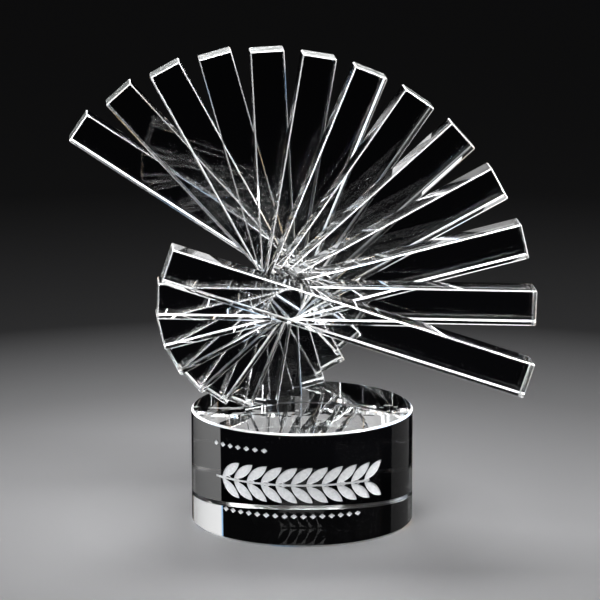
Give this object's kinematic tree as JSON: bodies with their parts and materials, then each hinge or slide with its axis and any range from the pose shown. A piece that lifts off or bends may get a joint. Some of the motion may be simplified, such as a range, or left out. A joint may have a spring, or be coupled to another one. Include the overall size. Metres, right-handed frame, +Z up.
{
  "type": "crystal award",
  "caption": "Clear optical-crystal award: square glass bars fanned in a twisting half circle and bonded face to face, on a thick round crystal base with an etched leaf sprig.",
  "frame": {"origin": "centre of the round base's flat underside, on the surface that the award stands on", "axes": "+Z up along the base's axis, -Y towards the viewer and the etched side of the base, +X to the viewer's right"},
  "size_m": [0.2506, 0.2469, 0.2536],
  "materials": {
    "crystal_bar": "polished optical crystal, clear",
    "crystal_base": "polished optical crystal, clear, with a sandblasted leaf sprig",
    "clear_adhesive": "cured clear adhesive film"
  },
  "bodies": {
    "root": {"base": "crystal_base", "bar_01": "crystal_bar", "bar_02": "crystal_bar", "bar_03": "crystal_bar", "bar_04": "crystal_bar", "bar_05": "crystal_bar", "bar_06": "crystal_bar", "bar_07": "crystal_bar", "bar_08": "crystal_bar", "bar_09": "crystal_bar", "bar_10": "crystal_bar", "bar_11": "crystal_bar", "bar_12": "crystal_bar", "bar_13": "crystal_bar", "bond_film_01": "clear_adhesive", "bond_film_02": "clear_adhesive", "bond_film_03": "clear_adhesive", "bond_film_04": "clear_adhesive", "bond_film_05": "clear_adhesive", "bond_film_06": "clear_adhesive", "bond_film_07": "clear_adhesive", "bond_film_08": "clear_adhesive", "bond_film_09": "clear_adhesive", "bond_film_10": "clear_adhesive", "bond_film_11": "clear_adhesive", "bond_film_12": "clear_adhesive", "foot_bond_04": "clear_adhesive", "foot_bond_05": "clear_adhesive", "foot_bond_06": "clear_adhesive"}
  },
  "joints": []
}
